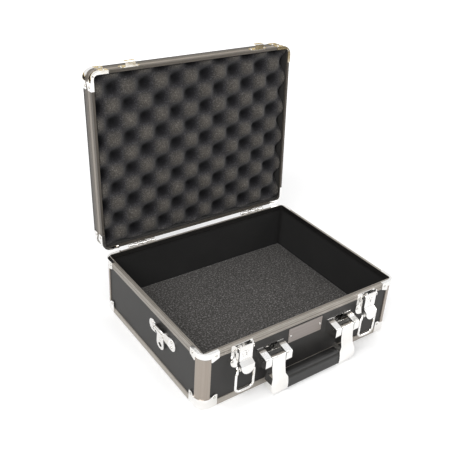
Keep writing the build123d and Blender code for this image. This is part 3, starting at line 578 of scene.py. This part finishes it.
def egg_crate():
    """Convoluted foam in the lid: peaks and pits alternate like a chess board."""
    low, high = closed_box("lid_egg_crate_foam")
    peak, pit = low.z, high.z - EGG_BACK
    middle, reach = (peak + pit) / 2, (pit - peak) / 2

    def surface(x, y):
        lean = noise.noise(Vector((x * EGG_LEAN_RATE, y * EGG_LEAN_RATE, 0.0))) * EGG_LEAN
        u = (x - EGG_PEAK_X + lean) / EGG_PITCH_X
        v = (y - EGG_PEAK_Y - lean) / EGG_PITCH_Y
        swing = cos(pi * u) * cos(pi * v)
        shaped = swing + PIT_BIAS * (swing * swing - 1)
        rough = noise.noise(Vector((x * EGG_ROUGH_RATE, y * EGG_ROUGH_RATE, 3.0))) * EGG_ROUGH
        return middle + reach * shaped * EGG_REACH + rough

    back = Vector((low.x, low.y, high.z))
    mesh = pad_mesh("egg_crate_foam", back, high, surface, EGG_COLUMNS, EGG_ROWS, EGG_SIDES, open_matrix())
    skin = foam("egg_crate_foam", dark=(0.044, 0.041, 0.040), light=(0.104, 0.096, 0.088), cell_scale=640,
                specks=0.2, on_lid=True, painted_shade_span=(peak, pit))
    piece = new_piece("egg_crate_foam", mesh, "lid", skin, "lid_egg_crate_foam")


# The mat's top lies this far under its box, and falls by the edge's drop over about the edge's width
MAT_UNDER = 0.4 * MM
MAT_EDGE_DROP, MAT_EDGE_WIDTH = 2.2 * MM, 1.6 * MM
# Most that its top swells, and how quickly the swelling changes
MAT_SWELL, MAT_SWELL_RATE = 0.35 * MM, 14
MAT_COLUMNS, MAT_ROWS = 164, 130
MAT_SIDES = (0.2, 0.6, 1.0)


def floor_mat():
    """Foam mat on the case's floor, nearly flat, with soft edges."""
    low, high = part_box("base_foam_mat")

    def surface(x, y):
        inside = min(x - low.x, high.x - x, y - low.y, high.y - y)
        edge = MAT_EDGE_DROP * exp(-inside / MAT_EDGE_WIDTH)
        swell = noise.noise(Vector((x * MAT_SWELL_RATE, y * MAT_SWELL_RATE, 1.0))) * MAT_SWELL
        return high.z - MAT_UNDER - edge + swell

    mesh = pad_mesh("foam_mat", low, high, surface, MAT_COLUMNS, MAT_ROWS, MAT_SIDES)
    skin = foam("foam_mat", dark=(0.022, 0.0205, 0.019), light=(0.058, 0.054, 0.050), cell_scale=520,
                specks=0.34)
    piece = new_piece("foam_mat", mesh, "base", skin, "base_foam_mat")


# Floor, light and camera

FLOOR_HALF = 12.0
FLOOR_GAP = 0.02 * MM
# The floor's own glow towards the eye, near the case and away from it, and between which distances it grows
NEAR_GLOW, FAR_GLOW = 0.24, 0.65
GLOW_FROM, GLOW_TO = 0.5, 1.3
# Distances between which the dim room's colours spread, and the share of them over which the floor fades out
ROOM_FROM, ROOM_TO, ROOM_SOFT = 1.6, 2.8, 0.2
# The dim room that polished metal shows beyond the white floor, from its near edge outwards
DIM_ROOM = (
    (0.0, (0.85, 0.80, 0.70)), (0.2, (0.50, 0.36, 0.13)), (0.5, (0.10, 0.08, 0.05)),
    (1.0, (0.03, 0.03, 0.033)))
# The studio that polished metal shows round the case, by the height of the line of sight
STUDIO_BANDS = (
    (0.0, (0.03, 0.028, 0.03)), (0.10, (0.05, 0.04, 0.03)), (0.14, (0.55, 0.38, 0.12)),
    (0.20, (0.85, 0.72, 0.45)), (0.26, (1, 1, 1)), (0.62, (1, 1, 1)), (0.95, (0.93, 0.94, 0.95)))
WHITE = (1, 1, 1, 1)
# Strength of the world as a light, and where it is seen or mirrored
WORLD_LIGHT, WORLD_SEEN = 0.5, 1.0


def seen_rays(tree):
    """Outputs that are 1 for a ray from the camera or through glass, and for a mirrored ray."""
    path = tree.add("ShaderNodeLightPath")
    direct = tree.math("MAXIMUM", path.outputs["Is Camera Ray"], path.outputs["Is Transmission Ray"])
    return direct, path.outputs["Is Glossy Ray"]


def stage_floor():
    """A plain pale floor, white to the eye, that keeps the case's soft shadow."""
    half = FLOOR_HALF
    mesh = bpy.data.meshes.new("floor")
    mesh.from_pydata([(-half, -half, 0), (half, -half, 0), (half, half, 0), (-half, half, 0)], [],
                     [(0, 1, 2, 3)])
    floor = bpy.data.objects.new("floor", mesh)
    bpy.context.scene.collection.objects.link(floor)
    floor.location.z = min(0.0, cad_low.z) - FLOOR_GAP
    r = Recipe("floor_paper")
    cloudy = r.noise(2.0, detail=2)
    r.set(Base_Color=r.ramp(cloudy, (0.0, grey(0.79)), (1.0, grey(0.81))), Roughness=0.9,
          Specular_IOR_Level=0.1)
    away = r.add("ShaderNodeVectorMath", operation="LENGTH")
    r.put(r.point, away.inputs[0])
    distance = away.outputs["Value"]
    direct, mirrored = seen_rays(r)
    glow = r.add("ShaderNodeEmission")
    level = r.spread(distance, NEAR_GLOW, FAR_GLOW, GLOW_FROM, GLOW_TO)
    r.put(r.math("MULTIPLY", r.math("MAXIMUM", direct, mirrored), level), glow.inputs["Strength"])
    lit = r.add("ShaderNodeAddShader")
    r.put(r.shader.outputs[0], lit.inputs[0])
    r.put(glow.outputs[0], lit.inputs[1])
    room = r.add("ShaderNodeEmission")
    fade = r.spread(distance, 0.0, 1.0, ROOM_FROM, ROOM_TO)
    r.put(r.ramp(fade, *DIM_ROOM), room.inputs["Color"])
    both = r.add("ShaderNodeMixShader")
    r.put(r.math("MULTIPLY", mirrored, r.spread(fade, 0.0, 1.0, 0.0, ROOM_SOFT)), both.inputs[0])
    r.put(lit.outputs[0], both.inputs[1])
    r.put(room.outputs[0], both.inputs[2])
    r.put(both.outputs[0], r.tree.nodes["Material Output"].inputs["Surface"])
    floor.data.materials.append(r.material)


def white_world():
    """White where it is seen. Mirrored, it is a studio: pale above, with a dark warm band low down."""
    world = bpy.data.worlds.new("studio")
    bpy.context.scene.world = world
    world.use_nodes = True
    tree = NodeTree(world.node_tree)
    direct, mirrored = seen_rays(tree)
    level = tree.spread(tree.math("MAXIMUM", direct, mirrored), WORLD_LIGHT, WORLD_SEEN)
    sight = tree.add("ShaderNodeTexCoord").outputs["Generated"]
    bands = tree.ramp(tree.axis("Z", sight), *STUDIO_BANDS)
    back = world.node_tree.nodes["Background"]
    tree.put(tree.mixed("MIX", mirrored, WHITE, bands), back.inputs["Color"])
    tree.put(level, back.inputs["Strength"])


# The middle of the case, and the lamps' places, sizes and watts
STUDIO_AIM = Vector((0, 0, 0.12))
LAMPS = {
    "key": (Vector((-1.3, -0.9, 1.5)), (1.1, 1.1), 26),
    "fill": (Vector((1.5, -1.3, 1.0)), (1.0, 1.2), 9),
    "top": (Vector((0.1, 0.3, 1.9)), (1.4, 1.0), 12),
}


def soft_boxes():
    for name, (place, size, power) in LAMPS.items():
        light = bpy.data.lights.new(name, "AREA")
        light.shape = "RECTANGLE"
        light.size, light.size_y = size
        light.energy = power
        lamp = bpy.data.objects.new(name, light)
        bpy.context.scene.collection.objects.link(lamp)
        lamp.location = place
        lamp.rotation_euler = (STUDIO_AIM - place).to_track_quat("-Z", "Y").to_euler()


# The photograph's camera, solved from the case's edges: angles in degrees, lengths in metres
CAMERA_AZIMUTH, CAMERA_ELEVATION, CAMERA_ROLL = -37.135, 29.838, 3.933
CAMERA_DISTANCE = 0.95429
CAMERA_TARGET = Vector((-0.02717, 0, 0.1704))
# Its focal length as a share of the picture's width, from 674.71 and 475 pixels
CAMERA_FOCAL = 674.71 / 475
SENSOR_WIDTH = 36.0
CLIP_NEAR, CLIP_FAR = 0.01, 100


def photo_camera():
    """The camera of the photograph: its angle, its slight roll and its distance."""
    azimuth, elevation, roll = radians(CAMERA_AZIMUTH), radians(CAMERA_ELEVATION), radians(CAMERA_ROLL)
    back = Vector((sin(azimuth) * cos(elevation), -cos(azimuth) * cos(elevation), sin(elevation)))
    right = (-back).cross(Vector((0, 0, 1))).normalized()
    up = right.cross(-back)
    side = right * cos(roll) + up * sin(roll)
    head = up * cos(roll) - right * sin(roll)
    data = bpy.data.cameras.new("camera")
    data.sensor_width = SENSOR_WIDTH
    data.lens = CAMERA_FOCAL * SENSOR_WIDTH
    data.clip_start, data.clip_end = CLIP_NEAR, CLIP_FAR
    camera = bpy.data.objects.new("camera", data)
    bpy.context.scene.collection.objects.link(camera)
    spot = Matrix((side, head, back)).transposed().to_4x4()
    spot.translation = CAMERA_TARGET + back * CAMERA_DISTANCE
    camera.matrix_world = spot
    bpy.context.scene.camera = camera


dress_cad_nodes()
soften_edges()
linings()
egg_crate()
floor_mat()
stage_floor()
white_world()
soft_boxes()
photo_camera()
bpy.context.scene.view_settings.view_transform = "Standard"
